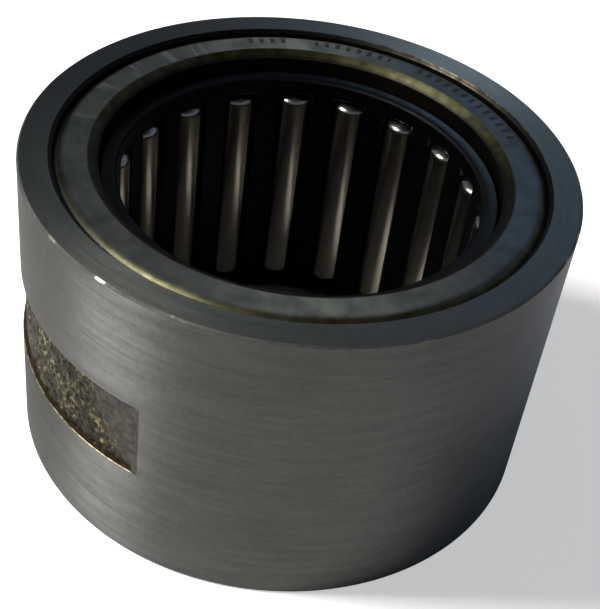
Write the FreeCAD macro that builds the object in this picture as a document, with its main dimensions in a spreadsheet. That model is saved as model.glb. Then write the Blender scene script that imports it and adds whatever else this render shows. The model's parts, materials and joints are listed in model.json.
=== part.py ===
"""Caged needle roller bearing without an inner ring, pressed into a thick steel sleeve.

Frame: +Z along the bearing axis towards the marked face, origin at the middle of the
sleeve's lower face, millimetres.  The locating recess in the sleeve faces -X.
"""
import FreeCAD
import Part
import Sketcher
import os
import re

# Driving dimensions, in millimetres, degrees or pieces.
DIMENSIONS = [
    ("sleeve_outer_radius", 17.0, "outside of the sleeve"),
    ("sleeve_width", 20.4, "sleeve, face to face"),
    ("sleeve_edge_break", 0.12, "outer edges of the sleeve"),
    ("sleeve_inner_chamfer", 0.22, "inner edges of the sleeve"),
    ("recess_depth", 0.3, "locating recess, radially"),
    ("recess_width", 5.5, "locating recess, along the axis"),
    ("recess_middle", 9.95, "middle of the recess above the lower face"),
    ("recess_span", 80.0, "angle that the recess covers"),
    ("ring_outer_radius", 15.0, "fit between ring and sleeve"),
    ("ring_width", 20.0, "bearing ring, face to face"),
    ("ring_edge_chamfer", 0.28, "outer edges of the ring"),
    ("rib_thickness", 1.5, "integral rib at each end of the raceway"),
    ("rib_bore_radius", 12.3, "bore of the ribs"),
    ("rib_chamfer_radial", 0.6, "chamfer at the mouth of the bore, across the face"),
    ("rib_chamfer_axial", 0.38, "chamfer at the mouth of the bore, along the axis"),
    ("relief_depth", 0.15, "grinding relief beside each rib, radially"),
    ("relief_width", 0.5, "grinding relief beside each rib, along the axis"),
    ("oil_groove_width", 2.5, "oil groove round the outside of the ring"),
    ("oil_groove_depth", 0.4, "oil groove, radially"),
    ("oil_hole_radius", 0.75, "oil hole from the groove to the raceway"),
    ("needle_count", 19, "needle rollers in the cage"),
    ("needle_radius", 1.25, "needle roller"),
    ("needle_length", 15.8, "needle roller, end to end"),
    ("needle_crown", 0.45, "height of the domed end"),
    ("needle_edge_round", 0.25, "rounding between the dome and the side"),
    ("inscribed_radius", 11.0, "circle inside the needles, for the shaft"),
    ("first_needle_angle", 13.7, "where the first needle stands at rest"),
    ("raceway_clearance", 0.02, "needle to raceway, radially"),
    ("needle_float", 0.05, "needle end above the lower rib at rest"),
    ("cage_outer_radius", 12.2, "cage, guided in the bore of the ribs"),
    ("cage_inner_radius", 11.2, "inside of the cage"),
    ("cage_width", 18.3, "cage, end to end"),
    ("cage_chamfer", 0.12, "edges of the cage"),
    ("pocket_radius", 1.31, "pocket round a needle"),
    ("pocket_mouth", 2.2, "gap between the retaining lips of a pocket"),
    ("pocket_length", 16.1, "pocket, along the axis"),
    ("pocket_play", 0.1, "needle end above the lower end of its pocket"),
]

doc = FreeCAD.newDocument("needle_roller_bearing")


def make_sheet():
    """The spreadsheet that drives every sub-part."""
    sheet = doc.addObject("Spreadsheet::Sheet", "Sizes")
    for row, (alias, value, meaning) in enumerate(DIMENSIONS, start=1):
        sheet.set("A%d" % row, alias)
        sheet.set("B%d" % row, str(value))
        sheet.set("C%d" % row, meaning)
        sheet.setAlias("B%d" % row, alias)
    doc.recompute()
    return sheet


sizes = make_sheet()


def size(alias):
    """The number in a cell of the sheet."""
    return sizes.get(alias)


def in_sheet(formula):
    """A formula whose size names, the words joined by underscores, point at the sheet."""
    return re.sub(r"[a-z]+(_[a-z]+)+", r"Sizes.\g<0>", formula)


def evaluated(formula):
    """The present value of a formula of sizes."""
    return float(sizes.evalExpression(in_sheet(formula)))


def new_body(label):
    body = doc.addObject("PartDesign::Body", label)
    body.Label = label
    return body


def origin_plane(body, role):
    return next(item for item in body.Origin.OriginFeatures if item.Role == role)


def new_sketch(body, name, role):
    sketch = body.newObject("Sketcher::SketchObject", name)
    sketch.AttachmentSupport = [(origin_plane(body, role), "")]
    sketch.MapMode = "FlatFace"
    return sketch


def pin_down(sketch, geometry, vertex, across, along):
    """Hold one vertex of the sketch at two formulas of sizes."""
    for kind, formula in (("DistanceX", across), ("DistanceY", along)):
        constraint = Sketcher.Constraint(kind, -1, 1, geometry, vertex, evaluated(formula))
        index = sketch.addConstraint(constraint)
        sketch.setExpression("Constraints[%d]" % index, in_sheet(formula))


def outline(sketch, corners):
    """A closed outline of straight lines through corners given as formulas."""
    points = [FreeCAD.Vector(evaluated(x), evaluated(y), 0) for x, y in corners]
    following = points[1:] + points[:1]
    for start, end in zip(points, following):
        sketch.addGeometry(Part.LineSegment(start, end), False)
    count = len(corners)
    for index in range(count):
        sketch.addConstraint(Sketcher.Constraint("Coincident", index, 2, (index + 1) % count, 1))
    for index, (across, along) in enumerate(corners):
        pin_down(sketch, index, 1, across, along)


def revolve(body, name, sketch):
    turned = body.newObject("PartDesign::Revolution", name)
    turned.Profile = sketch
    turned.ReferenceAxis = (sketch, ["V_Axis"])
    turned.Angle = 360
    return turned


def cut_away(body, volume_before):
    """Stop if a feature that should remove metal has removed none."""
    doc.recompute()
    if not body.Shape.Volume < volume_before:
        raise RuntimeError("%s lost no metal to its cut" % body.Label)


def make_sleeve():
    """Thick ground sleeve with a shallow locating recess milled into its side."""
    body = new_body("outer_sleeve")
    profile = new_sketch(body, "SleeveProfile", "XZ_Plane")
    outline(profile, [
        ("ring_outer_radius", "sleeve_inner_chamfer"),
        ("ring_outer_radius + sleeve_inner_chamfer", "0"),
        ("sleeve_outer_radius - sleeve_edge_break", "0"),
        ("sleeve_outer_radius", "sleeve_edge_break"),
        ("sleeve_outer_radius", "sleeve_width - sleeve_edge_break"),
        ("sleeve_outer_radius - sleeve_edge_break", "sleeve_width"),
        ("ring_outer_radius + sleeve_inner_chamfer", "sleeve_width"),
        ("ring_outer_radius", "sleeve_width - sleeve_inner_chamfer"),
    ])
    revolve(body, "SleeveBlank", profile)
    doc.recompute()
    blank_volume = body.Shape.Volume

    section = new_sketch(body, "RecessSection", "XZ_Plane")
    floor = "recess_depth - sleeve_outer_radius"
    outside = "-sleeve_outer_radius - recess_depth"
    lower_edge = "recess_middle - recess_width / 2"
    upper_edge = "recess_middle + recess_width / 2"
    outline(section, [
        (floor, lower_edge),
        (floor, upper_edge),
        (outside, upper_edge),
        (outside, lower_edge),
    ])
    recess = body.newObject("PartDesign::Groove", "LocatingRecess")
    recess.Profile = section
    recess.ReferenceAxis = (section, ["V_Axis"])
    recess.Midplane = True
    recess.setExpression("Angle", in_sheet("recess_span"))
    cut_away(body, blank_volume)
    return body


def make_ring():
    """Bearing ring with integral ribs, an oil groove outside and one oil hole."""
    body = new_body("outer_ring")
    raceway = "inscribed_radius + 2 * needle_radius + raceway_clearance"
    groove_floor = "ring_outer_radius - oil_groove_depth"
    middle = "ring_width / 2"
    profile = new_sketch(body, "RingProfile", "XZ_Plane")
    lower_half = [
        (groove_floor, middle + " - oil_groove_width / 2"),
        ("ring_outer_radius", middle + " - oil_groove_width / 2"),
        ("ring_outer_radius", "ring_edge_chamfer"),
        ("ring_outer_radius - ring_edge_chamfer", "0"),
        ("rib_bore_radius + rib_chamfer_radial", "0"),
        ("rib_bore_radius", "rib_chamfer_axial"),
        ("rib_bore_radius", "rib_thickness"),
        (raceway + " + relief_depth", "rib_thickness"),
        (raceway + " + relief_depth", "rib_thickness + relief_width"),
        (raceway, "rib_thickness + relief_width"),
    ]
    upper_half = [(across, "ring_width - (%s)" % along) for across, along in reversed(lower_half)]
    outline(profile, lower_half + upper_half)
    revolve(body, "RingBlank", profile)
    doc.recompute()
    blank_volume = body.Shape.Volume

    drilling = new_sketch(body, "OilHoleCircle", "YZ_Plane")
    centre = FreeCAD.Vector(0, evaluated(middle), 0)
    normal = FreeCAD.Vector(0, 0, 1)
    drilling.addGeometry(Part.Circle(centre, normal, size("oil_hole_radius")), False)
    pin_down(drilling, 0, 3, "0", middle)
    bore = drilling.addConstraint(Sketcher.Constraint("Radius", 0, size("oil_hole_radius")))
    drilling.setExpression("Constraints[%d]" % bore, in_sheet("oil_hole_radius"))
    hole = body.newObject("PartDesign::Pocket", "OilHole")
    hole.Profile = drilling
    hole.Reversed = True
    hole.setExpression("Length", in_sheet("ring_outer_radius"))
    cut_away(body, blank_volume)
    body.setExpression("Placement.Base.z", in_sheet("(sleeve_width - ring_width) / 2"))
    return body


def make_cage():
    """Machined cage: one pocket with retaining lips, repeated round the axis."""
    body = new_body("cage")
    profile = new_sketch(body, "CageProfile", "XZ_Plane")
    upper_half = [
        ("cage_outer_radius", "cage_width / 2 - cage_chamfer"),
        ("cage_outer_radius - cage_chamfer", "cage_width / 2"),
        ("cage_inner_radius + cage_chamfer", "cage_width / 2"),
        ("cage_inner_radius", "cage_width / 2 - cage_chamfer"),
    ]
    lower_half = [(across, "-(%s)" % along) for across, along in reversed(upper_half)]
    outline(profile, upper_half + lower_half)
    revolve(body, "CageBlank", profile)
    doc.recompute()
    blank_volume = body.Shape.Volume

    pocket = body.newObject("PartDesign::Pocket", "NeedlePocket")
    pocket.Profile = pocket_outline(body)
    pocket.Midplane = True
    pocket.setExpression("Length", in_sheet("pocket_length"))
    cut_away(body, blank_volume)

    pattern = body.newObject("PartDesign::PolarPattern", "NeedlePockets")
    pattern.Originals = [pocket]
    pattern.Axis = (pocket.Profile[0], ["N_Axis"])
    pattern.Angle = 360
    pattern.setExpression("Occurrences", in_sheet("needle_count"))
    body.Tip = pattern
    cut_away(body, blank_volume)

    pocket_floor = "(sleeve_width - ring_width) / 2 + rib_thickness + needle_float - pocket_play"
    body.setExpression("Placement.Base.z", in_sheet(pocket_floor + " + pocket_length / 2"))
    body.setExpression("Placement.Rotation.Angle", in_sheet("first_needle_angle"))
    return body


def pocket_outline(body):
    """Section across one pocket: a circle round the needle, open inwards between two lips."""
    sketch = new_sketch(body, "PocketSection", "XY_Plane")
    pitch_radius = "inscribed_radius + needle_radius"
    inner_end = "cage_inner_radius - cage_chamfer * 2"
    half_mouth = size("pocket_mouth") / 2
    radius = size("pocket_radius")
    centre = FreeCAD.Vector(evaluated(pitch_radius), 0, 0)
    reach = (radius ** 2 - half_mouth ** 2) ** 0.5
    lip_tip = centre + FreeCAD.Vector(-reach, half_mouth, 0)
    other_tip = centre + FreeCAD.Vector(-reach, -half_mouth, 0)
    far_side = centre + FreeCAD.Vector(radius, 0, 0)
    inside = FreeCAD.Vector(evaluated(inner_end), half_mouth, 0)
    other_inside = FreeCAD.Vector(evaluated(inner_end), -half_mouth, 0)

    sketch.addGeometry(Part.Arc(other_tip, far_side, lip_tip), False)
    sketch.addGeometry(Part.LineSegment(lip_tip, inside), False)
    sketch.addGeometry(Part.LineSegment(inside, other_inside), False)
    sketch.addGeometry(Part.LineSegment(other_inside, other_tip), False)
    for first, second in ((0, 1), (1, 2), (2, 3), (3, 0)):
        sketch.addConstraint(Sketcher.Constraint("Coincident", first, 2, second, 1))
    sketch.addConstraint(Sketcher.Constraint("Horizontal", 1))
    sketch.addConstraint(Sketcher.Constraint("Vertical", 2))
    sketch.addConstraint(Sketcher.Constraint("Horizontal", 3))
    pin_down(sketch, 0, 3, pitch_radius, "0")
    pin_down(sketch, 1, 2, inner_end, "pocket_mouth / 2")
    mouth = Sketcher.Constraint("DistanceY", 3, 1, 2, 1, 2 * half_mouth)
    index = sketch.addConstraint(mouth)
    sketch.setExpression("Constraints[%d]" % index, in_sheet("pocket_mouth"))
    index = sketch.addConstraint(Sketcher.Constraint("Radius", 0, radius))
    sketch.setExpression("Constraints[%d]" % index, in_sheet("pocket_radius"))
    return sketch


def make_needle(number):
    """One needle roller with domed, rounded ends, standing in its pocket."""
    body = new_body("needle_roller_%02d" % number)
    profile = new_sketch(body, "NeedleProfile%02d" % number, "XZ_Plane")
    half_length = size("needle_length") / 2
    crown = size("needle_crown")
    radius = size("needle_radius")
    dome_radius = (radius ** 2 + crown ** 2) / (2 * crown)
    shoulder = half_length - crown
    middle_drop = dome_radius - (dome_radius ** 2 - (radius / 2) ** 2) ** 0.5
    top = FreeCAD.Vector(0, half_length, 0)
    top_side = FreeCAD.Vector(radius / 2, half_length - middle_drop, 0)
    top_edge = FreeCAD.Vector(radius, shoulder, 0)
    bottom_edge = FreeCAD.Vector(radius, -shoulder, 0)
    bottom_side = FreeCAD.Vector(radius / 2, middle_drop - half_length, 0)
    bottom = FreeCAD.Vector(0, -half_length, 0)
    profile.addGeometry(Part.Arc(top_edge, top_side, top), False)
    profile.addGeometry(Part.LineSegment(top, bottom), False)
    profile.addGeometry(Part.Arc(bottom, bottom_side, bottom_edge), False)
    profile.addGeometry(Part.LineSegment(bottom_edge, top_edge), False)
    top_dome, axis_line, bottom_dome, side = range(4)
    centre, start, end = 3, 1, 2
    profile.addConstraint(Sketcher.Constraint("Coincident", top_dome, end, axis_line, start))
    profile.addConstraint(Sketcher.Constraint("Coincident", axis_line, end, bottom_dome, start))
    profile.addConstraint(Sketcher.Constraint("Coincident", bottom_dome, end, side, start))
    profile.addConstraint(Sketcher.Constraint("Coincident", side, end, top_dome, start))
    profile.addConstraint(Sketcher.Constraint("PointOnObject", top_dome, centre, -2))
    profile.addConstraint(Sketcher.Constraint("PointOnObject", bottom_dome, centre, -2))
    pin_down(profile, axis_line, start, "0", "needle_length / 2")
    pin_down(profile, axis_line, end, "0", "-needle_length / 2")
    pin_down(profile, side, start, "needle_radius", "needle_crown - needle_length / 2")
    pin_down(profile, side, end, "needle_radius", "needle_length / 2 - needle_crown")
    revolve(body, "NeedleBlank%02d" % number, profile)
    doc.recompute()

    blank = body.Tip
    blank_volume = body.Shape.Volume
    rims = [
        "Edge%d" % index
        for index, edge in enumerate(blank.Shape.Edges, start=1)
        if edge.Closed and abs(edge.BoundBox.XMax - radius) < 1e-6
    ]
    rounding = body.newObject("PartDesign::Fillet", "NeedleEnds%02d" % number)
    rounding.Base = (blank, rims)
    rounding.setExpression("Radius", in_sheet("needle_edge_round"))
    cut_away(body, blank_volume)

    angle = "first_needle_angle + %d * 360 / needle_count" % (number - 1)
    pitch_radius = "(inscribed_radius + needle_radius)"
    lower_end = "(sleeve_width - ring_width) / 2 + rib_thickness + needle_float"
    body.setExpression("Placement.Base.x", in_sheet("%s * cos(%s)" % (pitch_radius, angle)))
    body.setExpression("Placement.Base.y", in_sheet("%s * sin(%s)" % (pitch_radius, angle)))
    body.setExpression("Placement.Base.z", in_sheet(lower_end + " + needle_length / 2"))
    return body


sub_parts = [make_sleeve(), make_ring(), make_cage()]
for needle_number in range(1, int(size("needle_count")) + 1):
    sub_parts.append(make_needle(needle_number))
doc.recompute()

for item in doc.Objects:
    if "Invalid" in item.State or "Error" in item.State:
        raise RuntimeError("%s did not recompute: %s" % (item.Label, item.State))
for part in sub_parts:
    if part.Shape.isNull() or not part.Shape.isValid() or len(part.Shape.Solids) != 1:
        raise RuntimeError("%s is not one valid solid" % part.Label)

os.makedirs("parts", exist_ok=True)
for part in sub_parts:
    part.Shape.exportStep("parts/%s.step" % part.Label)
    print("%-18s %9.3f mm3" % (part.Label, part.Shape.Volume))
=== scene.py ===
import json
import math

import bmesh
import bpy
from mathutils import Matrix, Vector, noise


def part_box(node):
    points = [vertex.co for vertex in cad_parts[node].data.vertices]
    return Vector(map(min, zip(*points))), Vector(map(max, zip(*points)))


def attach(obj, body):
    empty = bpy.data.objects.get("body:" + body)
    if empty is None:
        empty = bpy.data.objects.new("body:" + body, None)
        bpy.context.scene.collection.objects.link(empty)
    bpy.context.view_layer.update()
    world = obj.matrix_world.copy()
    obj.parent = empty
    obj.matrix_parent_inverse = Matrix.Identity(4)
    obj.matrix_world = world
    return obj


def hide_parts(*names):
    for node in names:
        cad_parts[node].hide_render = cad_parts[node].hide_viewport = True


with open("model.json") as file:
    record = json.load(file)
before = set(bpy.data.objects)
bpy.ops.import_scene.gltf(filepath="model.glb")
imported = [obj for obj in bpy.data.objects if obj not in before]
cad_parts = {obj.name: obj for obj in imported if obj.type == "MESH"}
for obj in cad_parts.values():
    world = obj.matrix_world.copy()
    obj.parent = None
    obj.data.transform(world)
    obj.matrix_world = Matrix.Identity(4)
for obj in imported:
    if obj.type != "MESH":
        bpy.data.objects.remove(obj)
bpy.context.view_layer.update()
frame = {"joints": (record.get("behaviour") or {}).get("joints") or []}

MM = 0.001

# ---------------------------------------------------------------- sizes from the frame
sleeve_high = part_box("outer_sleeve")[1]
ring_low, ring_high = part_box("outer_ring")
cage_low, cage_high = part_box("cage")
needle_low, needle_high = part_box("needle_roller_01")

SLEEVE_RADIUS = sleeve_high.x
SLEEVE_TOP = sleeve_high.z
RING_RADIUS = ring_high.x
RING_BOTTOM = ring_low.z
RING_TOP = ring_high.z
CAGE_BOTTOM = cage_low.z
CAGE_TOP = cage_high.z
NEEDLE_RADIUS = (needle_high.x - needle_low.x) / 2
NEEDLE_LENGTH = needle_high.z - needle_low.z
NEEDLE_JOINTS = [j for j in frame["joints"] if j["name"].startswith("needle_spin")]
NEEDLE_COUNT = len(NEEDLE_JOINTS)
PITCH_RADIUS = math.hypot(*NEEDLE_JOINTS[0]["pos_m"][:2])
FIRST_NEEDLE = math.atan2(NEEDLE_JOINTS[0]["pos_m"][1], NEEDLE_JOINTS[0]["pos_m"][0])

# Sizes that the boxes don't give.
EDGE_ROUND = 0.035 * MM
SLEEVE_EDGE = 0.12 * MM
SLEEVE_INNER_CHAMFER = 0.22 * MM
RING_EDGE_CHAMFER = 0.46 * MM
RING_EDGE_ROUND = 0.8 * MM
RIB_BORE = 12.3 * MM
RIB_CHAMFER_RADIAL = 0.6 * MM
RIB_CHAMFER_AXIAL = 0.38 * MM
RIB_THICKNESS = 1.5 * MM
RACEWAY = 13.52 * MM
RACEWAY_RELIEF = 0.15 * MM
RACEWAY_RELIEF_WIDTH = 0.5 * MM
CAGE_RADIUS = 12.2 * MM
CAGE_INNER = 11.2 * MM
CAGE_CHAMFER = 0.12 * MM
CAGE_EDGE_ROUND = 0.045 * MM
POCKET_RADIUS = 1.31 * MM
POCKET_MOUTH = 2.2 * MM
POCKET_LENGTH = 16.1 * MM
POCKET_LOW = (CAGE_BOTTOM + CAGE_TOP - POCKET_LENGTH) / 2
POCKET_HIGH = (CAGE_BOTTOM + CAGE_TOP + POCKET_LENGTH) / 2
SECTOR = 2 * math.pi / NEEDLE_COUNT
NEEDLE_CROWN = 0.45 * MM
NEEDLE_EDGE_ROUND = 0.25 * MM
# Each needle is turned this much more than the one before, so that their marks differ.
NEEDLE_TURN = 2.4

# The recess in the sleeve's side. Its angles are from -X, and one end of it runs out smooth.
RECESS_DEPTH = 0.3 * MM
RECESS_LOW = 7.2 * MM
RECESS_HIGH = 12.7 * MM
RECESS_HALF_SPAN = math.radians(40)
RECESS_LIP = 0.05 * MM
RECESS_WALL = 0.07 * MM
RECESS_RUN_OUT = 0.3 * MM
RECESS_RAGGED = math.radians(1.7)
SMOOTH_START = math.radians(38.5)
SMOOTH_LEAN = math.radians(11.5)
SMOOTH_CURVE = 0.6
SMOOTH_WAVER = math.radians(0.7)
SMOOTH_BLEND = math.radians(1.6)
SMOOTH_RISE = 0.3
# Degrees round the lip's rounding at each of its mesh rows.
LIP_TURNS = (0, 22, 45, 68, 89)

# Bars struck into the ring's face: groups and pitch in degrees round the axis.
MARK_GROUPS = ((73, 85), (44, 66), (-3, 37))
MARK_PITCH = 3.1
MARK_FILL = 0.42
MARK_RADIUS = 13.95 * MM
MARK_HEIGHT = 0.62 * MM

# Steps of the meshes.
FINE_STEP = math.radians(0.2)
COARSE_STEP = math.radians(1.2)
STEP_GROWTH = 1.12
RING_STEPS = 300
NEEDLE_STEPS = 64
BAR_STEPS = 6
MOUTH_STEPS = 6
POCKET_STEPS = 8

# The floor is painted dark under the sleeve, a painted shadow out to just inside its edge.
FLOOR_DARK_RADIUS = 0.95 * SLEEVE_RADIUS

# Which material of its piece a face takes.
SIDE_ZONE, FACE_ZONE, EDGE_ZONE, SEAT_ZONE, RECESS_ZONE, WALL_ZONE = range(6)
CAGE_ZONE, WEAR_AND_GLINT_ZONE, RIM_ZONE = range(3)

# ---------------------------------------------------------------- mesh helpers


def smooth_by_angle(mesh, degrees):
    """Smooth shading, with edges sharper than the angle kept hard."""
    shape = bmesh.new()
    shape.from_mesh(mesh)
    for edge in shape.edges:
        edge.smooth = len(edge.link_faces) != 2 or edge.calc_face_angle(0) < math.radians(degrees)
    for face in shape.faces:
        face.smooth = True
    shape.to_mesh(mesh)
    shape.free()


def new_piece(name, shape, sharp=40):
    """A mesh object from a bmesh, welded, with outward faces."""
    bmesh.ops.remove_doubles(shape, verts=shape.verts, dist=1e-7)
    bmesh.ops.recalc_face_normals(shape, faces=shape.faces)
    mesh = bpy.data.meshes.new(name)
    shape.to_mesh(mesh)
    shape.free()
    smooth_by_angle(mesh, sharp)
    piece = bpy.data.objects.new(name, mesh)
    bpy.context.scene.collection.objects.link(piece)
    return piece


def corner_curve(start, corner, end, steps):
    """Points of a quadratic curve that rounds a corner, close to an arc at this size."""
    shares = [step / steps for step in range(steps + 1)]
    return [start.lerp(corner, share).lerp(corner.lerp(end, share), share) for share in shares]


def rounded(corners, steps=4):
    """A run of (r, z) points with each corner (r, z, radius) turned into a small curve."""
    points = []
    count = len(corners)
    for index, (r, z, radius) in enumerate(corners):
        here = Vector((r, z))
        if radius == 0:
            points.append(here)
            continue
        before = Vector(corners[index - 1][:2]) - here
        after = Vector(corners[(index + 1) % count][:2]) - here
        back_off = radius / math.tan(before.angle(after) / 2)
        start = here + before.normalized() * back_off
        end = here + after.normalized() * back_off
        points += corner_curve(start, here, end, steps)
    return points


def add_band(shape, profile, angles, closed_profile, closed_turn=True):
    """Sweep (r, z) points round the axis, over the given angles."""
    rings = []
    for angle in angles:
        cosine, sine = math.cos(angle), math.sin(angle)
        rings.append([shape.verts.new((p[0] * cosine, p[0] * sine, p[1])) for p in profile])
    turns = len(rings) if closed_turn else len(rings) - 1
    spans = len(profile) if closed_profile else len(profile) - 1
    for i in range(turns):
        here, there = rings[i], rings[(i + 1) % len(rings)]
        for j in range(spans):
            k = (j + 1) % len(profile)
            shape.faces.new((here[j], there[j], there[k], here[k]))
    return rings


def even_angles(count):
    return [2 * math.pi * index / count for index in range(count)]


# ---------------------------------------------------------------- sleeve


def clamp(value):
    return max(0.0, min(1.0, value))


def lumps_at(angle, z, scale, shift=0.0, octaves=3):
    """Lumpy noise on the sleeve's outside, the same every run; scale is lumps per millimetre."""
    at = Vector((angle * SLEEVE_RADIUS, z, shift * MM)) * (scale / MM)
    fading = 0.6
    spacing = 2.1
    return noise.fractal(at, fading, spacing, octaves)


def smooth_share(angle, z):
    """1 in the smooth run-out at the recess's near end, 0 in its rough part."""
    height = clamp((z - RECESS_LOW) / (RECESS_HIGH - RECESS_LOW))
    edge = SMOOTH_START - SMOOTH_LEAN * height ** SMOOTH_CURVE
    edge += SMOOTH_WAVER * lumps_at(angle, z, 1.5, 9.0)
    return clamp((angle - edge) / SMOOTH_BLEND + 0.5)


def rough_rise(angle, z):
    """How far the recess's rough floor stands above its full depth: swells, chips and pits."""
    swells = 0.05 * lumps_at(angle, z, 1.1)
    chips = 0.055 * lumps_at(angle, z, 4.5, 5.0)
    pits = max(0.0, lumps_at(angle, z, 0.9, 2.0, 2) - 0.34)
    rough = swells + chips - 0.3 * pits
    return (0.03 + rough) * MM


def recess_depth_at(angle, z):
    """How far the recess lies below the sleeve's outside; angle is from -X."""
    ragged = RECESS_RAGGED * (lumps_at(0, z, 0.5, 4.0, 2) + 0.25)
    along = RECESS_HALF_SPAN - abs(angle) - max(0.0, ragged)
    across = min(z - RECESS_LOW, RECESS_HIGH - z)
    end = clamp(along * SLEEVE_RADIUS / RECESS_RUN_OUT)
    share = end * end * (3 - 2 * end)
    if across < RECESS_LIP:
        return share * (RECESS_LIP - math.sqrt(RECESS_LIP ** 2 - across ** 2))
    smooth = smooth_share(angle, z)
    depth = RECESS_DEPTH - (1 - smooth) * rough_rise(angle, z) - SMOOTH_RISE * smooth * RECESS_DEPTH
    wall = min(1.0, (across - RECESS_LIP) / (RECESS_WALL - RECESS_LIP))
    return share * (RECESS_LIP + wall * (depth - RECESS_LIP))


def recess_rows():
    """Heights of the recess's mesh rows: a rounded lip, the wall, the floor, and the same again."""
    wall_rows = 3
    floor_rows = 76
    lip = [RECESS_LIP * math.sin(math.radians(turn)) for turn in LIP_TURNS]
    wall_span = RECESS_WALL - RECESS_LIP
    foot = lip + [RECESS_LIP + wall_span * i / wall_rows for i in range(1, wall_rows + 1)]
    floor_span = RECESS_HIGH - RECESS_LOW - 2 * RECESS_WALL
    floor = [RECESS_LOW + RECESS_WALL + floor_span * i / floor_rows for i in range(1, floor_rows)]
    low = [RECESS_LOW + height for height in foot]
    high = [RECESS_HIGH - height for height in reversed(foot)]
    return low + floor + high


def graded_turn(start, span, fine, coarse):
    """Angles over a span whose steps grow smoothly from fine at both ends to coarse between."""
    grow = []
    step = fine
    while step < coarse:
        grow.append(step)
        step *= STEP_GROWTH
    between = span - 2 * sum(grow)
    count = math.ceil(between / coarse)
    angles = [start]
    for step in grow + [between / count] * count + grow[::-1]:
        angles.append(angles[-1] + step)
    return angles


def skin_zone(face):
    """The sleeve's zone that a face of its turned skin is in."""
    if face.calc_center_median().xy.length < RING_RADIUS + SLEEVE_INNER_CHAMFER:
        return SEAT_ZONE
    tilt = abs(face.normal.z)
    flat = 0.97
    upright = 0.05
    if tilt > flat:
        return FACE_ZONE
    return EDGE_ZONE if tilt > upright else SIDE_ZONE


def add_recess(shape, angles):
    """The recess's skin: a column of vertices at each angle, and a row at each height."""
    rows = recess_rows()
    columns = []
    for angle in angles:
        column = []
        for z in rows:
            r = SLEEVE_RADIUS - recess_depth_at(angle - math.pi, z)
            column.append(shape.verts.new((r * math.cos(angle), r * math.sin(angle), z)))
        columns.append(column)
    lip_foot = len(LIP_TURNS) - 1
    sunk = SLEEVE_RADIUS - 0.01 * MM
    for left, right in zip(columns, columns[1:]):
        for j in range(len(rows) - 1):
            face = shape.faces.new((left[j], right[j], right[j + 1], left[j + 1]))
            across = min(rows[j] - RECESS_LOW, RECESS_HIGH - rows[j + 1])
            if across < RECESS_LIP * 0.99:
                in_recess = left[lip_foot].co.xy.length < sunk
                face.material_index = EDGE_ZONE if in_recess else SIDE_ZONE
            else:
                face.material_index = WALL_ZONE if across < RECESS_WALL * 0.99 else RECESS_ZONE


def make_sleeve():
    """Ground steel sleeve: one revolved skin with the recess let into its side."""
    fine_count = round(2 * RECESS_HALF_SPAN / FINE_STEP)
    inside = [math.pi - RECESS_HALF_SPAN + FINE_STEP * i for i in range(fine_count + 1)]
    rest = 2 * math.pi - 2 * RECESS_HALF_SPAN
    outside = graded_turn(inside[-1], rest, FINE_STEP, COARSE_STEP)
    outside[-1] = inside[0] + 2 * math.pi

    shape = bmesh.new()
    inner = RING_RADIUS
    skin = [
        (SLEEVE_RADIUS, RECESS_HIGH, 0),
        (SLEEVE_RADIUS, SLEEVE_TOP - SLEEVE_EDGE, EDGE_ROUND),
        (SLEEVE_RADIUS - SLEEVE_EDGE, SLEEVE_TOP, EDGE_ROUND),
        (inner + SLEEVE_INNER_CHAMFER, SLEEVE_TOP, EDGE_ROUND),
        (inner, SLEEVE_TOP - SLEEVE_INNER_CHAMFER, EDGE_ROUND),
        (inner, SLEEVE_INNER_CHAMFER, EDGE_ROUND),
        (inner + SLEEVE_INNER_CHAMFER, 0, EDGE_ROUND),
        (SLEEVE_RADIUS - SLEEVE_EDGE, 0, EDGE_ROUND),
        (SLEEVE_RADIUS, SLEEVE_EDGE, EDGE_ROUND),
        (SLEEVE_RADIUS, RECESS_LOW, 0),
    ]
    add_band(shape, rounded(skin), inside + outside[1:-1], closed_profile=False)
    plain = [(SLEEVE_RADIUS, RECESS_LOW), (SLEEVE_RADIUS, RECESS_HIGH)]
    add_band(shape, plain, outside, closed_profile=False, closed_turn=False)
    for face in shape.faces:
        face.normal_update()
        face.material_index = skin_zone(face)
    add_recess(shape, inside)
    return new_piece("sleeve_body", shape, sharp=50)


# ---------------------------------------------------------------- bearing ring


def make_ring():
    """Bearing ring: ground faces, chamfered mouths, two ribs and the raceway between them."""
    rib_foot = RING_BOTTOM + RIB_THICKNESS
    track_foot = rib_foot + RACEWAY_RELIEF_WIDTH
    lower = [
        (RING_RADIUS, RING_BOTTOM + RING_EDGE_CHAMFER, EDGE_ROUND),
        (RING_RADIUS - RING_EDGE_CHAMFER, RING_BOTTOM, RING_EDGE_ROUND),
        (RIB_BORE + RIB_CHAMFER_RADIAL, RING_BOTTOM, EDGE_ROUND * 2),
        (RIB_BORE, RING_BOTTOM + RIB_CHAMFER_AXIAL, EDGE_ROUND),
        (RIB_BORE, rib_foot, EDGE_ROUND),
        (RACEWAY + RACEWAY_RELIEF, rib_foot, 0),
        (RACEWAY + RACEWAY_RELIEF, track_foot, 0),
        (RACEWAY, track_foot, EDGE_ROUND),
    ]
    upper = [(r, RING_TOP + RING_BOTTOM - z, radius) for r, z, radius in reversed(lower)]
    shape = bmesh.new()
    add_band(shape, rounded(lower + upper), even_angles(RING_STEPS), closed_profile=True)
    return new_piece("bearing_ring", shape)


# ---------------------------------------------------------------- cage


def arc_points(centre, radius, start, end, steps):
    """Points on an arc, both ends included."""
    angles = [start + (end - start) * i / steps for i in range(steps + 1)]
    return [centre + radius * Vector((math.cos(a), math.sin(a))) for a in angles]


def about_axis(radius, start, end, steps):
    """Points on an arc round the bearing's axis."""
    return arc_points(Vector((0, 0)), radius, start, end, steps)


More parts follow.
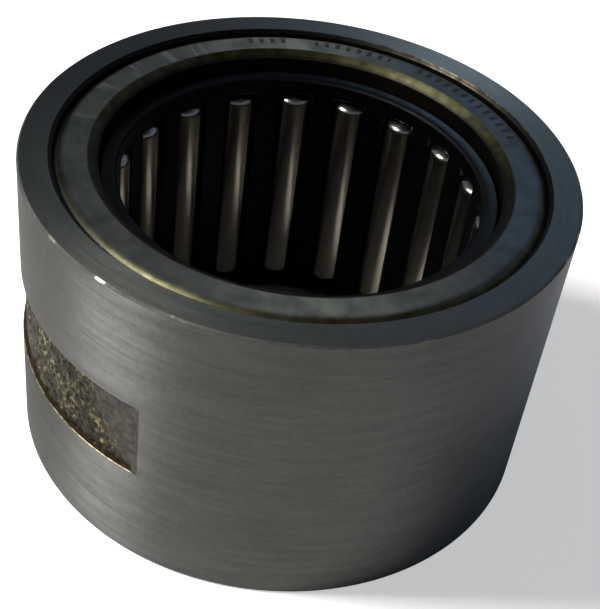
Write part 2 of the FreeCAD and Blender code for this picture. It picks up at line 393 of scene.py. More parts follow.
def turned(point, angle):
    """A point turned round the bearing's axis."""
    cosine, sine = math.cos(angle), math.sin(angle)
    return Vector((point.x * cosine - point.y * sine, point.x * sine + point.y * cosine))


def mirrored(point):
    """A point on the other side of the X axis."""
    return Vector((point.x, -point.y))


def pocket_side():
    """Half the wall of the pocket at angle 0: from the cage's outside in to the lip's inner end."""
    half_mouth = POCKET_MOUTH / 2
    centre = Vector((PITCH_RADIUS, 0))
    # Where the pocket's circle meets the cage's outer circle.
    across = (CAGE_RADIUS ** 2 - POCKET_RADIUS ** 2 + PITCH_RADIUS ** 2) / (2 * PITCH_RADIUS)
    aside = math.sqrt(CAGE_RADIUS ** 2 - across ** 2)
    outer_turn = math.atan2(aside, across - PITCH_RADIUS)
    lip_turn = math.pi - math.asin(half_mouth / POCKET_RADIUS)
    wall = arc_points(centre, POCKET_RADIUS, outer_turn, lip_turn, POCKET_STEPS)
    inner_x = math.sqrt(CAGE_INNER ** 2 - half_mouth ** 2)
    wall.append(Vector((inner_x, half_mouth)))
    return wall


def edge_angles(wall):
    """Half a pocket's angle at the cage's outside, and at its inside."""
    return math.atan2(wall[0].y, wall[0].x), math.atan2(wall[-1].y, wall[-1].x)


def bridge(shape, one, other):
    """Faces between two closed loops of vertices."""
    following = [(i, (i + 1) % len(one)) for i in range(len(one))]
    return [shape.faces.new((one[i], one[j], other[j], other[i])) for i, j in following]


def rim_circle(shape, radius, z, edge):
    """A circle of vertices whose steps meet the pockets' edges, half a pocket's angle being edge."""
    points = []
    for sector in range(NEEDLE_COUNT):
        start = FIRST_NEEDLE + sector * SECTOR
        far = start + SECTOR
        points += about_axis(radius, start + edge, far - edge, BAR_STEPS)
        points += about_axis(radius, far - edge, far + edge, MOUTH_STEPS)[1:-1]
    return [shape.verts.new((p.x, p.y, z)) for p in points]


def add_pocket_end(shape, wall, start, z):
    """The flat end of the pocket at this angle."""
    outer_angle, inner_angle = edge_angles(wall)
    outline = [turned(p, start) for p in wall]
    outline += about_axis(CAGE_INNER, start + inner_angle, start - inner_angle, MOUTH_STEPS)[1:-1]
    outline += [turned(mirrored(p), start) for p in reversed(wall)]
    outline += about_axis(CAGE_RADIUS, start - outer_angle, start + outer_angle, MOUTH_STEPS)[1:-1]
    shape.faces.new([shape.verts.new((p.x, p.y, z)) for p in outline])


def add_rim(shape, wall, pocket_end, rim_face):
    """One rim, from the height of the pockets' ends to that of the rim's own face."""
    outer_angle, inner_angle = edge_angles(wall)
    outward = math.copysign(1, rim_face - pocket_end)
    below_chamfer = rim_face - outward * CAGE_CHAMFER
    loops = [
        rim_circle(shape, CAGE_RADIUS, pocket_end, outer_angle),
        rim_circle(shape, CAGE_RADIUS, below_chamfer, outer_angle),
        rim_circle(shape, CAGE_RADIUS - CAGE_CHAMFER, rim_face, outer_angle),
        rim_circle(shape, CAGE_INNER + CAGE_CHAMFER, rim_face, inner_angle),
        rim_circle(shape, CAGE_INNER, below_chamfer, inner_angle),
        rim_circle(shape, CAGE_INNER, pocket_end, inner_angle),
    ]
    for one, other in zip(loops, loops[1:]):
        for face in bridge(shape, one, other):
            past = (face.calc_center_median().z - rim_face) * outward
            face.material_index = RIM_ZONE if past > -CAGE_CHAMFER else CAGE_ZONE
    for sector in range(NEEDLE_COUNT):
        add_pocket_end(shape, wall, FIRST_NEEDLE + sector * SECTOR, pocket_end)


def add_bar(shape, wall, start):
    """The sides of the bar between the pocket at this angle and the next."""
    outer_angle, inner_angle = edge_angles(wall)
    far = start + SECTOR
    outer = about_axis(CAGE_RADIUS, start + outer_angle, far - outer_angle, BAR_STEPS)
    far_wall = [turned(mirrored(p), far) for p in wall]
    inner = about_axis(CAGE_INNER, far - inner_angle, start + inner_angle, BAR_STEPS)
    near_wall = [turned(p, start) for p in reversed(wall)]
    outline = outer + far_wall[1:] + inner[1:] + near_wall[1:-1]
    low = [shape.verts.new((p.x, p.y, POCKET_LOW)) for p in outline]
    high = [shape.verts.new((p.x, p.y, POCKET_HIGH)) for p in outline]
    bridge(shape, low, high)


def make_cage():
    """Cage: bars with retaining lips between two rims."""
    wall = pocket_side()
    shape = bmesh.new()
    add_rim(shape, wall, POCKET_LOW, CAGE_BOTTOM)
    add_rim(shape, wall, POCKET_HIGH, CAGE_TOP)
    for sector in range(NEEDLE_COUNT):
        add_bar(shape, wall, FIRST_NEEDLE + sector * SECTOR)

    piece = new_piece("needle_cage", shape, sharp=28)
    bevel = piece.modifiers.new("edges", "BEVEL")
    bevel.width = CAGE_EDGE_ROUND
    bevel.segments = 2
    bevel.limit_method = "ANGLE"
    bevel.angle_limit = math.radians(55)
    bevel.harden_normals = True
    bevel.material = WEAR_AND_GLINT_ZONE
    return piece


# ---------------------------------------------------------------- needles


def needle_profile():
    """(r, z) points from the middle of one domed end to the other, about the needle's middle."""
    half = NEEDLE_LENGTH / 2
    dome_radius = (NEEDLE_RADIUS ** 2 + NEEDLE_CROWN ** 2) / (2 * NEEDLE_CROWN)
    points = []
    for share in (0, 0.12, 0.24, 0.36, 0.48, 0.6, 0.7):
        r = NEEDLE_RADIUS * share
        points.append(Vector((r, half - dome_radius + math.sqrt(dome_radius ** 2 - r ** 2))))
    shoulder = Vector((NEEDLE_RADIUS, half - NEEDLE_CROWN))
    slope = points[-1] - shoulder
    start = shoulder + slope.normalized() * NEEDLE_EDGE_ROUND
    end = shoulder + Vector((0, -NEEDLE_EDGE_ROUND))
    points += corner_curve(start, shoulder, end, 8)
    return points + [Vector((p.x, -p.y)) for p in reversed(points)]


def make_needle(joint, number):
    """One polished needle roller, its own axis at its own origin, each turned by another angle."""
    shape = bmesh.new()
    add_band(shape, needle_profile(), even_angles(NEEDLE_STEPS), closed_profile=False)
    piece = new_piece("needle_%02d" % number, shape, sharp=60)
    middle = (needle_low.z + needle_high.z) / 2
    x, y = joint["pos_m"][:2]
    turn = Matrix.Rotation(number * NEEDLE_TURN, 4, "Z")
    piece.matrix_world = Matrix.Translation((x, y, middle)) @ turn
    return piece


# ---------------------------------------------------------------- materials


class Nodes:
    """A short way to write a material's nodes."""

    def __init__(self, name):
        self.material = bpy.data.materials.new(name)
        self.material.use_nodes = True
        self.tree = self.material.node_tree
        self.shader = self.tree.nodes["Principled BSDF"]

    def add(self, kind, **inputs):
        """A node, with its properties and input sockets set by name."""
        node = self.tree.nodes.new(kind)
        for key, value in inputs.items():
            self.put(node, key, value)
        return node

    def put(self, node, key, value):
        """Set a property or an input socket, or link an output socket to it."""
        if isinstance(value, bpy.types.NodeSocket):
            self.tree.links.new(value, node.inputs[key])
        elif isinstance(key, str) and hasattr(node, key):
            setattr(node, key, value)
        else:
            node.inputs[key].default_value = value

    def finish(self, **inputs):
        """Set or link the shader's sockets, and give the material."""
        for key, value in inputs.items():
            self.put(self.shader, key.replace("_", " "), value)
        return self.material

    def math(self, operation, *values):
        node = self.add("ShaderNodeMath", operation=operation)
        for index, value in enumerate(values):
            self.put(node, index, value)
        return node.outputs[0]

    def vector(self, operation, *values):
        node = self.add("ShaderNodeVectorMath", operation=operation)
        for index, value in enumerate(values):
            self.put(node, index, value)
        return node.outputs

    def noise(self, vector, scale, detail=2.0, roughness=0.5):
        node = self.add(
            "ShaderNodeTexNoise", Vector=vector, Scale=scale, Detail=detail, Roughness=roughness
        )
        return node.outputs[0]

    def ramp(self, value, stops):
        """A colour ramp; stops are (place, grey or colour)."""
        node = self.add("ShaderNodeValToRGB", Fac=value)
        elements = node.color_ramp.elements
        while len(elements) < len(stops):
            elements.new(0.5)
        for element, (place, colour) in zip(elements, stops):
            element.position = place
            grey = isinstance(colour, (int, float))
            element.color = (colour, colour, colour, 1) if grey else (*colour, 1)
        return node.outputs["Color"]

    def mix(self, share, one, other, blend="MIX"):
        """One colour turned into another by a share; the node's colour sockets are 6 and 7."""
        node = self.add("ShaderNodeMix", data_type="RGBA", blend_type=blend)
        for index, value in ((0, share), (6, one), (7, other)):
            self.put(node, index, (*value, 1) if isinstance(value, tuple) else value)
        return node.outputs[2]

    def bump(self, height, strength, distance):
        return self.add(
            "ShaderNodeBump", Strength=strength, Distance=distance, Height=height
        ).outputs[0]

    def place(self):
        """Position on the object."""
        return self.add("ShaderNodeTexCoord").outputs["Object"]

    def split(self, vector):
        """A vector's X, Y and Z sockets."""
        node = self.add("ShaderNodeSeparateXYZ")
        self.put(node, 0, vector)
        return node.outputs

    def turning(self, around, across):
        """Coordinates for marks that run round the axis: slow round it, fast across it."""
        at = self.split(self.place())
        flat = self.add("ShaderNodeCombineXYZ", X=at["X"], Y=at["Y"]).outputs[0]
        direction = self.split(self.vector("NORMALIZE", flat)["Vector"])
        profile = self.math("ADD", at["Z"], self.vector("LENGTH", flat)["Value"])
        return self.add(
            "ShaderNodeCombineXYZ",
            X=self.math("MULTIPLY", direction["X"], around),
            Y=self.math("MULTIPLY", direction["Y"], around),
            Z=self.math("MULTIPLY", profile, across),
        ).outputs[0]

    def radius(self):
        """Distance from the bearing's axis."""
        flat = self.vector("MULTIPLY", self.place(), (1, 1, 0))["Vector"]
        return self.vector("LENGTH", flat)["Value"]

    def angle(self):
        """Angle round the axis from +X, in radians."""
        at = self.split(self.place())
        return self.math("ARCTAN2", at["Y"], at["X"])

    def height(self):
        """Height above the surface the bearing stands on."""
        return self.split(self.place())["Z"]

    def towards(self, degrees, power, both_ways=False):
        """1 on the side of the bearing at this angle, falling to 0 away from it."""
        away = self.math("SUBTRACT", self.angle(), math.radians(degrees))
        nearness = self.math("COSINE", away)
        if both_ways:
            nearness = self.math("ABSOLUTE", nearness)
        else:
            nearness = self.math("MAXIMUM", nearness, 0.0)
        return self.math("POWER", nearness, power)

    def radial_tangent(self):
        """Line the brushed shine up with the axis."""
        tangent = self.add("ShaderNodeTangent", direction_type="RADIAL", axis="Z")
        self.tree.links.new(tangent.outputs[0], self.shader.inputs["Tangent"])


def ground_tone(n, fine, broad, low, high):
    """Steel colour streaked by grinding, with faint clouds and mottling."""
    place = n.place()
    cloud = n.noise(place, 0.22 / MM, 3.0)
    mottle = n.noise(place, 3.2 / MM, 4.0, 0.65)
    tone = n.ramp(fine, [(0.28, low), (0.72, high)])
    tone = n.mix(0.42, tone, n.ramp(broad, [(0.36, low), (0.64, high)]))
    tone = n.mix(0.2, tone, n.ramp(mottle, [(0.38, low), (0.62, high)]))
    return n.mix(0.15, tone, n.ramp(cloud, [(0.3, low), (0.7, high)]))


def ground_side():
    """Sleeve's outside: cylindrically ground, its marks run round the axis, with a painted bluish
    reflection and a painted highlight on one side.
    """
    n = Nodes("ground_side")
    fine = n.noise(n.turning(3.0, 12 / MM), 1.0, 3.0)
    broad = n.noise(n.turning(3.0, 1.6 / MM), 1.0, 4.0)
    tone = ground_tone(n, fine, broad, (0.092, 0.090, 0.085), (0.218, 0.214, 0.204))
    # Painted reflection: a bluish tint round -25 degrees.
    tone = n.mix(n.towards(-25, 3), tone, n.mix(1.0, tone, (0.90, 0.99, 1.17), "MULTIPLY"))
    # Painted highlight: the upper part turns pale grey round -28 degrees.
    upper = n.ramp(n.math("DIVIDE", n.height(), SLEEVE_TOP), [(0.35, 0.0), (0.85, 0.5)])
    tone = n.mix(n.math("MULTIPLY", n.towards(-28, 5), upper), tone, (0.37, 0.385, 0.405))
    rough = n.ramp(n.mix(0.5, fine, broad), [(0.3, 0.40), (0.7, 0.52)])
    n.radial_tangent()
    return n.finish(
        Base_Color=tone, Metallic=1.0, Roughness=rough, Normal=n.bump(fine, 0.3, 0.004 * MM),
        Anisotropic=0.95, Anisotropic_Rotation=0.25,
    )


def side_tint_painted_reflection(n, tone, blue_reflection):
    """Painted reflection: tint a tone from straw-grey on one side of the bearing to blue on the
    other.
    """
    place = n.place()
    across = n.vector("DOT_PRODUCT", place, (1 / SLEEVE_RADIUS, 0, 0))["Value"]
    blotch = n.noise(place, 0.35 / MM, 3.0)
    where = n.math("ADD", across, n.math("MULTIPLY_ADD", blotch, 0.8, -0.4))
    where = n.math("MULTIPLY_ADD", where, 0.5, 0.5)
    tint = n.ramp(where, [(0.15, (1.03, 1.03, 0.93)), (0.5, (0.96, 0.99, 1.0)), (0.9, blue_reflection)])
    return n.mix(1.0, tone, tint, "MULTIPLY")


def ground_face():
    """Sleeve's end faces: turned and ground, with a painted reflection, a painted shade and a
    painted sheen on different sides.
    """
    n = Nodes("ground_face")
    fine = n.noise(n.turning(3.0, 14 / MM), 1.0, 3.0)
    broad = n.noise(n.turning(2.5, 2.4 / MM), 1.0, 2.0)
    tone = ground_tone(n, fine, broad, (0.112, 0.114, 0.110), (0.202, 0.204, 0.198))
    # Painted reflection: blue on one side of the face, warm on the other.
    tone = side_tint_painted_reflection(n, tone, (0.80, 1.0, 1.22))
    # Painted shade: darker round 130 degrees.
    dull = n.math("MULTIPLY", n.towards(130, 2), 0.8)
    tone = n.mix(dull, tone, (0.045, 0.047, 0.048))
    # Painted sheen: bluish grey round 30 degrees.
    bright = n.math("MULTIPLY", n.towards(30, 5), 0.35)
    tone = n.mix(bright, tone, (0.31, 0.36, 0.40))
    rough = n.ramp(n.mix(0.5, fine, broad), [(0.3, 0.44), (0.7, 0.54)])
    n.radial_tangent()
    return n.finish(
        Base_Color=tone, Metallic=1.0, Roughness=rough, Normal=n.bump(fine, 0.2, 0.003 * MM),
        Anisotropic=0.7, Anisotropic_Rotation=0.25,
    )


def edge_steel():
    """Broken edges: dull, nicked bright here and there."""
    n = Nodes("edge_steel")
    place = n.place()
    nick = n.noise(place, 0.8 / MM, 3.0)
    tone = n.ramp(nick, [
        (0.35, (0.12, 0.118, 0.11)), (0.58, (0.16, 0.156, 0.145)), (0.68, (0.42, 0.39, 0.32)),
    ])
    recess_middle = (RECESS_LOW + RECESS_HIGH) / 2
    on_lip = n.math("COMPARE", n.height(), recess_middle, RECESS_HIGH - recess_middle + 0.01 * MM)
    bright_patches = n.noise(place, 2.4 / MM, 2.0)
    lip = n.ramp(bright_patches, [(0.38, (0.10, 0.08, 0.04)), (0.60, (0.56, 0.48, 0.32))])
    tone = n.mix(on_lip, tone, lip)
    rough = n.ramp(nick, [(0.54, 0.70), (0.66, 0.28)])
    rough = n.mix(on_lip, rough, (0.40, 0.40, 0.40))
    return n.finish(
        Base_Color=tone, Metallic=1.0, Roughness=rough, Normal=n.bump(nick, 0.25, 0.02 * MM)
    )


def seat_steel():
    """Sleeve's bore and its chamfers: dark, with a painted warm glint on the chamfer's brink round
    22 degrees.
    """
    n = Nodes("seat_steel")
    place = n.place()
    worn = n.noise(place, 1.3 / MM, 4.0)
    bright_patches = n.ramp(worn, [(0.40, (0.05, 0.038, 0.022)), (0.62, (0.27, 0.225, 0.145))])
    across = n.math("SUBTRACT", n.radius(), RING_RADIUS)
    brink = n.ramp(n.math("DIVIDE", across, SLEEVE_INNER_CHAMFER), [(0.70, 0.14), (0.90, 1.0)])
    # Painted glint: the warm tone shows only on the brink round 22 degrees, near black elsewhere.
    tone = n.mix(n.math("MULTIPLY", n.towards(22, 3), brink), (0.022, 0.021, 0.018), bright_patches)
    rough = n.ramp(worn, [(0.4, 0.42), (0.65, 0.30)])
    return n.finish(Base_Color=tone, Metallic=1.0, Roughness=rough)


def recess_metal():
    """Recess: raw dark metal with brassy specks, running out to a smooth grey patch."""
    n = Nodes("recess_metal")
    place = n.place()
    at = n.split(place)
    angle = n.math("ARCTAN2", n.math("MULTIPLY", at["Y"], -1.0), n.math("MULTIPLY", at["X"], -1.0))
    height = n.math("DIVIDE", n.math("SUBTRACT", at["Z"], RECESS_LOW), RECESS_HIGH - RECESS_LOW)
    height = n.math("POWER", n.math("MAXIMUM", height, 0.0), SMOOTH_CURVE)
    edge = n.math("MULTIPLY_ADD", height, -SMOOTH_LEAN, SMOOTH_START)
    wander = n.math("MULTIPLY_ADD", n.noise(place, 1.2 / MM, 3.0), 0.08, -0.04)
    past = n.math("ADD", n.math("SUBTRACT", angle, edge), wander)
    past = n.math("MULTIPLY_ADD", past, 1 / math.radians(5), 0.5)
    smooth = n.ramp(past, [(0.0, 0.0), (1.0, 1.0)])

    speck = n.noise(place, 3.0 / MM, 5.0, 0.66)
    cluster = n.noise(place, 0.6 / MM, 2.0)
    shine = n.math("ADD", speck, n.math("MULTIPLY_ADD", cluster, 0.6, -0.3))
    raw = n.ramp(shine, [
        (0.36, (0.010, 0.008, 0.004)), (0.50, (0.038, 0.032, 0.018)),
        (0.59, (0.085, 0.074, 0.034)), (0.70, (0.50, 0.43, 0.19)),
    ])
    dust = n.noise(place, 0.9 / MM, 3.0)
    raw = n.mix(n.ramp(dust, [(0.42, 0.0), (0.62, 0.55)]), raw, (0.040, 0.036, 0.028))
    patch = n.noise(place, 1.5 / MM, 4.0)
    grey = n.ramp(patch, [(0.3, (0.050, 0.047, 0.040)), (0.7, (0.105, 0.098, 0.085))])
    tone = n.mix(smooth, raw, grey)
    rough = n.ramp(speck, [(0.4, 0.62), (0.66, 0.34)])
    return n.finish(
        Base_Color=tone, Metallic=0.8, Roughness=rough, Normal=n.bump(speck, 0.5, 0.03 * MM)
    )


def recess_wall():
    """The recess's narrow walls: very dark brown."""
    n = Nodes("recess_wall")
    place = n.place()
    wall_noise = n.noise(place, 1.8 / MM, 4.0)
    tone = n.ramp(wall_noise, [(0.35, (0.012, 0.008, 0.003)), (0.65, (0.050, 0.034, 0.014))])
    rough = n.ramp(wall_noise, [(0.3, 0.6), (0.7, 0.45)])
    return n.finish(Base_Color=tone, Metallic=0.3, Roughness=rough)


def marks(n):
    """Plain bars struck into the ring's face in three groups, 1 on a bar."""
    angle = n.angle()
    beat = n.math("FRACT", n.math("MULTIPLY", angle, 360 / (2 * math.pi) / MARK_PITCH))
    on_bar = n.math("LESS_THAN", beat, MARK_FILL)
    in_group = 0.0
    for first, last in MARK_GROUPS:
        middle = math.radians((first + last) / 2)
        half = math.radians((last - first) / 2)
        in_group = n.math("MAXIMUM", in_group, n.math("COMPARE", angle, middle, half))
    in_row = n.math("COMPARE", n.radius(), MARK_RADIUS, MARK_HEIGHT / 2)
    on_top = n.math("GREATER_THAN", n.height(), RING_TOP / 2)
    on_face = n.math("MULTIPLY", in_row, on_top)
    return n.math("MULTIPLY", n.math("MULTIPLY", on_bar, in_group), on_face)


def ring_steel():
    """Bearing ring: finely ground faces; the chamfers keep the straw colour of hardening, shown with
    painted highlights and shade, and the faces carry a painted sheen.
    """
    n = Nodes("ring_steel")
    fine = n.noise(n.turning(4.0, 16 / MM), 1.0, 2.0)
    place = n.place()
    cloud = n.noise(place, 0.45 / MM, 3.0)
    mottle = n.noise(place, 1.4 / MM, 4.0, 0.6)
    streak = n.noise(n.turning(9.0, 0.7 / MM), 1.0, 3.0)
    tone = n.ramp(fine, [(0.3, (0.080, 0.083, 0.080)), (0.7, (0.125, 0.128, 0.125))])
    tone = n.mix(0.4, tone, n.ramp(cloud, [(0.35, 0.045), (0.65, (0.175, 0.172, 0.16))]))
    tone = n.mix(0.18, tone, n.ramp(mottle, [(0.36, 0.04), (0.64, (0.19, 0.187, 0.175))]))
    # Painted reflection: blue on one side of the face, warm on the other.
    tone = side_tint_painted_reflection(n, tone, (0.78, 1.06, 1.36))
    # Painted sheen: a pale band both ways round 75 degrees, broken by the streaks.
    streaked = n.ramp(streak, [(0.36, 0.30), (0.62, 1.0)])
    bright = n.math("MULTIPLY", n.towards(75, 10, both_ways=True), streaked)
    tone = n.mix(bright, tone, (0.34, 0.34, 0.275))

    scratch = n.noise(n.turning(26.0, 0.25 / MM), 1.0, 2.0)
    scratched = n.math("MULTIPLY", n.ramp(scratch, [(0.56, 0.0), (0.66, 0.75)]), n.towards(115, 4))
    tone = n.mix(scratched, tone, (0.26, 0.26, 0.245))
    tone = n.mix(n.math("MULTIPLY", marks(n), 0.75), tone, (0.018, 0.018, 0.018))

    straw = n.ramp(n.noise(place, 1.2 / MM, 4.0), [
        (0.3, (0.15, 0.130, 0.060)), (0.7, (0.36, 0.330, 0.175))
    ])
    radius = n.math("DIVIDE", n.radius(), RING_RADIUS)
    inner = n.ramp(radius, [(0.8204, 0.0), (0.8210, 1.0), (0.860, 1.0), (0.866, 0.0)])
    # Painted highlight and shade on the bore chamfer: its straw colour is lit round 30 and 105
    # degrees and fades to black elsewhere and towards the bore.
    lit = n.math("MULTIPLY_ADD", n.towards(30, 6), 0.85, 0.13)
    lit = n.math("MULTIPLY_ADD", n.towards(105, 3), 0.17, lit)
    lit = n.math("MULTIPLY", lit, n.ramp(radius, [(0.824, 0.35), (0.838, 1.0)]))
    inner_straw = n.mix(lit, (0.0, 0.0, 0.0), straw)
    tone = n.mix(inner, tone, inner_straw)
    outer = n.ramp(radius, [(0.962, 0.0), (0.972, 0.9), (0.992, 0.9), (1.0, 0.6)])
    # Painted shade round 130 degrees and painted highlight round 25 degrees on the outer chamfer's
    # straw colour.
    painted_shade_and_highlight = n.math("MULTIPLY_ADD", n.towards(130, 1.5), -0.42, 0.52)
    painted_shade_and_highlight = n.math("MULTIPLY_ADD", n.towards(25, 4), 0.6, painted_shade_and_highlight)
    outer_straw = n.mix(painted_shade_and_highlight, (0.0, 0.0, 0.0), straw)
    tone = n.mix(outer, tone, outer_straw)
    # Painted glint: the outer rim turns pale grey round 176 degrees.
    rim = n.ramp(radius, [(0.976, 0.0), (0.984, 0.7), (1.0, 0.7)])
    pale = n.math("MULTIPLY", rim, n.towards(176, 14))
    tone = n.mix(pale, tone, (0.34, 0.35, 0.35))
    bore = n.ramp(radius, [(0.8204, 1.0), (0.8210, 0.0)])
    tone = n.mix(bore, tone, (0.020, 0.016, 0.012))
    rough = n.ramp(cloud, [(0.3, 0.38), (0.7, 0.48)])
    n.radial_tangent()
    return n.finish(
        Base_Color=tone, Metallic=1.0, Roughness=rough, Normal=n.bump(fine, 0.2, 0.003 * MM),
        Anisotropic=0.3, Anisotropic_Rotation=0.25,
    )


def blackened_steel():
    """Cage: near-black oxide finish."""
    n = Nodes("blackened_steel")
    place = n.place()
    cloud = n.noise(place, 2.2 / MM, 3.0)
    tone = n.ramp(cloud, [(0.3, (0.010, 0.011, 0.015)), (0.75, (0.022, 0.025, 0.032))])
    rough = n.ramp(cloud, [(0.3, 0.36), (0.7, 0.44)])
    grain = n.noise(place, 14 / MM, 2.0)
    return n.finish(
        Base_Color=tone, Metallic=1.0, Roughness=rough, Normal=n.bump(grain, 0.1, 0.003 * MM)
    )


def rim_painted_light():
    """Cage rims: a matt blue-grey shown only round 12 degrees as painted light, near black elsewhere
    and towards the bore.
    """
    n = Nodes("rim_painted_light")
    place = n.place()
    cloud = n.noise(place, 1.4 / MM, 4.0)
    tone = n.ramp(cloud, [(0.3, (0.020, 0.036, 0.050)), (0.7, (0.036, 0.058, 0.080))])
    across = n.math("DIVIDE", n.math("SUBTRACT", n.radius(), CAGE_INNER), CAGE_RADIUS - CAGE_INNER)
    # Painted light: the blue-grey shows only round 12 degrees and fades to near black elsewhere.
    kept = n.math("MULTIPLY_ADD", n.towards(12, 6), 0.65, 0.03)
    kept = n.math("MULTIPLY", kept, n.ramp(across, [(0.25, 0.05), (0.65, 1.0)]))
    tone = n.mix(kept, (0.001, 0.001, 0.002), tone)
    return n.finish(
        Base_Color=tone, Metallic=0.0, Roughness=n.ramp(cloud, [(0.3, 0.48), (0.7, 0.60)]),
        Specular_IOR_Level=0.12, Normal=n.bump(cloud, 0.2, 0.01 * MM),
    )


def wear_and_glint_edge():
    """Cage edges: worn bright steel only at the upper ends of the pockets, a painted highlight where
    the light catches them; near black elsewhere.
    """
    n = Nodes("wear_and_glint_edge")
    place = n.place()
    cloud = n.noise(place, 3.0 / MM, 3.0)
    bright_patches = n.ramp(cloud, [(0.35, (0.05, 0.055, 0.06)), (0.65, (0.34, 0.33, 0.30))])
    # Painted highlight: bright steel only along the upper ends, near black below.
    near_top = n.math("GREATER_THAN", n.height(), POCKET_HIGH - CAGE_CHAMFER)
    tone = n.mix(near_top, (0.009, 0.010, 0.012), bright_patches)
    return n.finish(
        Base_Color=tone, Metallic=1.0, Roughness=n.ramp(cloud, [(0.3, 0.38), (0.7, 0.28)])
    )


def polished_steel():
    """Needles: polished steel with faint marks round them."""
    n = Nodes("polished_steel")
    fine = n.noise(n.turning(1.5, 18 / MM), 1.0, 2.0)
    place = n.place()
    cloud = n.noise(place, 0.9 / MM, 3.0)
    tone = n.ramp(fine, [(0.3, (0.62, 0.575, 0.50)), (0.7, (0.76, 0.71, 0.63))])
    rough = n.ramp(cloud, [(0.3, 0.19), (0.7, 0.23)])
    return n.finish(
        Base_Color=tone, Metallic=1.0, Roughness=rough, Normal=n.bump(fine, 0.05, 0.001 * MM)
    )


def floor_paint():
    """Pale matt floor that glows for the camera around the object to lift its shadow there, with a
    painted shadow under the object.
    """
    n = Nodes("pale_floor")
    place = n.place()
    pale = n.ramp(n.noise(place, 30.0, 2.0), [(0.3, 0.80), (0.7, 0.82)])
    # Painted light: the floor glows for camera rays outside the object and is painted dark under it.
    seen = n.add("ShaderNodeLightPath").outputs["Is Camera Ray"]
    outside = n.math("GREATER_THAN", n.vector("LENGTH", place)["Value"], FLOOR_DARK_RADIUS)
    tone = n.mix(outside, (0.40, 0.39, 0.37), pale)
    return n.finish(
        Base_Color=tone, Roughness=0.9, Specular_IOR_Level=0.0,
        Emission_Color=(0.50, 0.50, 0.50, 1), Emission_Strength=n.math("MULTIPLY", seen, outside),
    )


# ---------------------------------------------------------------- assembly


def dress(piece, materials, slot, body, *nodes):
    """Give a piece its materials, its body and the CAD nodes that it stands for; its slot is not
    used.
    """
    for material in materials:
        piece.data.materials.append(material)
    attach(piece, body)
    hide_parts(*nodes)


# A piece's materials are listed in the order of its zones.
sleeve_finish = [
    ground_side(), ground_face(), edge_steel(), seat_steel(), recess_metal(), recess_wall(),
]
dress(make_sleeve(), sleeve_finish, "sleeve_steel", "housing", "outer_sleeve")
dress(make_ring(), [ring_steel()], "ring_steel", "housing", "outer_ring")
cage_finish = [blackened_steel(), wear_and_glint_edge(), rim_painted_light()]
dress(make_cage(), cage_finish, "cage_steel", "cage", "cage")
polish = polished_steel()
for index, needle_joint in enumerate(NEEDLE_JOINTS, start=1):
    needle = make_needle(needle_joint, index)
    dress(needle, [polish], "needle_steel", "needle_%02d" % index, "needle_roller_%02d" % index)

# ---------------------------------------------------------------- floor, light and camera


def bearing_from(azimuth, elevation):
    """Unit vector from the object towards a place at this azimuth (0 is -Y) and elevation."""
    a, e = math.radians(azimuth), math.radians(elevation)
    return Vector((math.sin(a) * math.cos(e), -math.cos(a) * math.cos(e), math.sin(e)))


ROOM_LEFT = (0.08, 0.085, 0.08, 1)
ROOM_RIGHT = (0.090, 0.115, 0.160, 1)
ROOM_OVERHEAD = (0.15, 0.15, 0.15, 1)
CAMERA_AZIMUTH = -25.95
CAMERA_ELEVATION = 40.59
CAMERA_DISTANCE = 85.15 * MM
CAMERA_AIM = Vector((0.92, -0.45, 8.6)) * MM
CAMERA_ROLL = 8.12
CAMERA_LENS = 75.9


def make_floor():
    """A square floor, its half side in metres."""
    half = 1.5
    shape = bmesh.new()
    corners = [(-half, -half), (half, -half), (half, half), (-half, half)]
    shape.faces.new([shape.verts.new((x, y, 0)) for x, y in corners])
    mesh = bpy.data.meshes.new("floor")
    shape.to_mesh(mesh)
    shape.free()
    floor = bpy.data.objects.new("floor", mesh)
    bpy.context.scene.collection.objects.link(floor)
    floor.data.materials.append(floor_paint())


def make_light(name, azimuth, elevation, distance, size, power, colour):
    """A rectangular soft light, size being (width, height), aimed at the object."""
    data = bpy.data.lights.new(name, "AREA")
    data.shape = "RECTANGLE"
    data.size, data.size_y = size
    data.energy = power
    data.color = colour
    light = bpy.data.objects.new(name, data)
    direction = bearing_from(azimuth, elevation)
    light.location = direction * distance + Vector((0, 0, SLEEVE_TOP / 2))
    light.rotation_euler = direction.to_track_quat("Z", "Y").to_euler()
    bpy.context.scene.collection.objects.link(light)
    return light


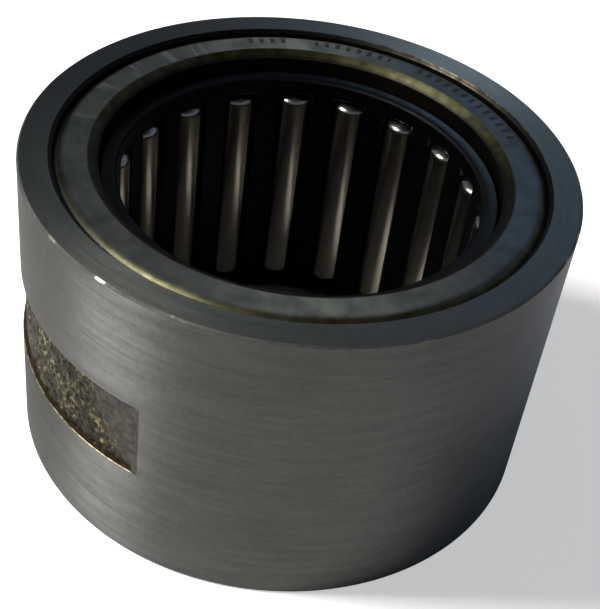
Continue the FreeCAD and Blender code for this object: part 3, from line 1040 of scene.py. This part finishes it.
def make_world():
    """A dim room: neutral on the left, bluish on the right, dark overhead."""
    world = bpy.data.worlds.new("studio")
    bpy.context.scene.world = world
    world.use_nodes = True
    tree = world.node_tree
    place = tree.nodes.new("ShaderNodeTexCoord")
    split = tree.nodes.new("ShaderNodeSeparateXYZ")
    tree.links.new(place.outputs["Generated"], split.inputs[0])

    side = tree.nodes.new("ShaderNodeValToRGB")
    side.color_ramp.elements[0].color = ROOM_LEFT
    side.color_ramp.elements[1].color = ROOM_RIGHT
    shift = tree.nodes.new("ShaderNodeMath")
    shift.operation = "MULTIPLY_ADD"
    shift.inputs[1].default_value = 0.5
    shift.inputs[2].default_value = 0.5
    tree.links.new(split.outputs["X"], shift.inputs[0])
    tree.links.new(shift.outputs[0], side.inputs["Fac"])

    height = tree.nodes.new("ShaderNodeValToRGB")
    height.color_ramp.elements[0].position = 0.6
    height.color_ramp.elements[0].color = (1, 1, 1, 1)
    height.color_ramp.elements[1].position = 0.9
    height.color_ramp.elements[1].color = ROOM_OVERHEAD
    tree.links.new(split.outputs["Z"], height.inputs["Fac"])

    both = tree.nodes.new("ShaderNodeMix")
    both.data_type = "RGBA"
    both.blend_type = "MULTIPLY"
    both.inputs[0].default_value = 1.0
    tree.links.new(side.outputs["Color"], both.inputs[6])
    tree.links.new(height.outputs["Color"], both.inputs[7])
    tree.links.new(both.outputs[2], tree.nodes["Background"].inputs["Color"])


def make_camera():
    """A camera that looks down at the bearing, turned a little about its own axis."""
    data = bpy.data.cameras.new("camera")
    data.lens = CAMERA_LENS
    data.clip_start = 0.005
    data.clip_end = 10
    camera = bpy.data.objects.new("camera", data)
    back = bearing_from(CAMERA_AZIMUTH, CAMERA_ELEVATION)
    turn = back.to_track_quat("Z", "Y").to_matrix().to_4x4()
    roll = Matrix.Rotation(math.radians(CAMERA_ROLL), 4, "Z")
    camera.matrix_world = Matrix.Translation(CAMERA_AIM + back * CAMERA_DISTANCE) @ turn @ roll
    bpy.context.scene.collection.objects.link(camera)
    bpy.context.scene.camera = camera


make_floor()
make_world()
# The window and the back fill show only in reflections, the table light only in matt shading.
window = make_light(
    "window", azimuth=-94, elevation=39, distance=0.60,
    size=(0.26, 0.20), power=3.2, colour=(0.97, 0.99, 0.98),
)
window.visible_diffuse = False
table_light = make_light(
    "table_light", azimuth=-114, elevation=45, distance=0.60,
    size=(0.14, 0.14), power=6.0, colour=(1.0, 0.975, 0.93),
)
table_light.visible_glossy = False
back_fill = make_light(
    "back_fill", azimuth=154, elevation=46, distance=0.80,
    size=(0.60, 0.85), power=0.50, colour=(0.90, 1.0, 1.08),
)
back_fill.visible_diffuse = False
make_camera()
bpy.context.scene.view_settings.view_transform = "Standard"
